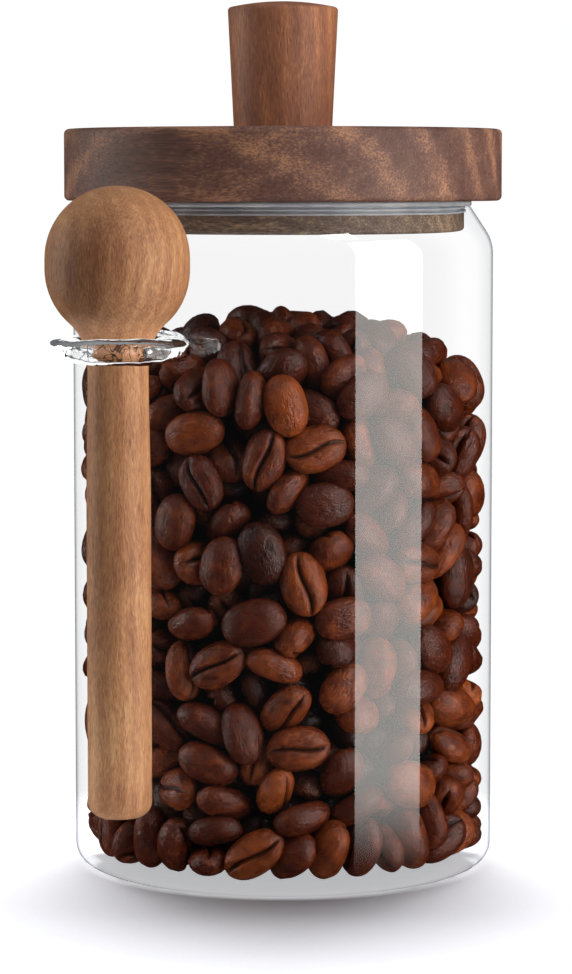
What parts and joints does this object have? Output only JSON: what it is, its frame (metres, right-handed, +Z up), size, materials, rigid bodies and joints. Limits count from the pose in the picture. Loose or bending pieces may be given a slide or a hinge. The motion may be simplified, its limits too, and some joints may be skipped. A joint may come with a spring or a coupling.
{
  "type": "food canister",
  "caption": "Round glass canister with a turned wooden lid on a silicone seal, and a wooden scoop hanging in a glass ring on its side.",
  "frame": {"origin": "centre of the jar's flat base, on the jar's axis", "axes": "+Z up the jar's axis towards the lid; -Y points from the jar's axis to the scoop and its ring"},
  "size_m": [0.104, 0.1372, 0.2056],
  "materials": {
    "clear_glass": "gloss",
    "ring_glass": "gloss",
    "roasted_beans": "satin",
    "lid_wood": "satin",
    "plug_wood": "satin",
    "silicone": "satin",
    "knob_wood": "satin",
    "insert_brass": "satin",
    "screw_steel": "satin",
    "spoon_wood": "satin"
  },
  "bodies": {
    "jar": {"jar_body": "clear_glass", "spoon_ring": "ring_glass", "coffee_beans": "roasted_beans"},
    "seal": {"seal_ring": "silicone"},
    "lid": {"lid_disc": "lid_wood", "lid_plug": "plug_wood", "knob": "knob_wood", "knob_insert": "insert_brass", "knob_screw": "screw_steel"},
    "spoon": {"spoon": "spoon_wood"}
  },
  "joints": [
    {"name": "lid_lift", "type": "slide", "parent": "jar", "child": "seal", "axis": [0, 0, 1], "range_m": [0, 0.1]},
    {"name": "lid_turn", "type": "hinge", "parent": "seal", "child": "lid", "pos_m": [0, 0, 0.1586], "axis": [0, 0, 1], "continuous": true},
    {"name": "spoon_lift", "type": "slide", "parent": "jar", "child": "spoon", "axis": [0, 0, 1], "range_m": [0, 0.115]}
  ]
}
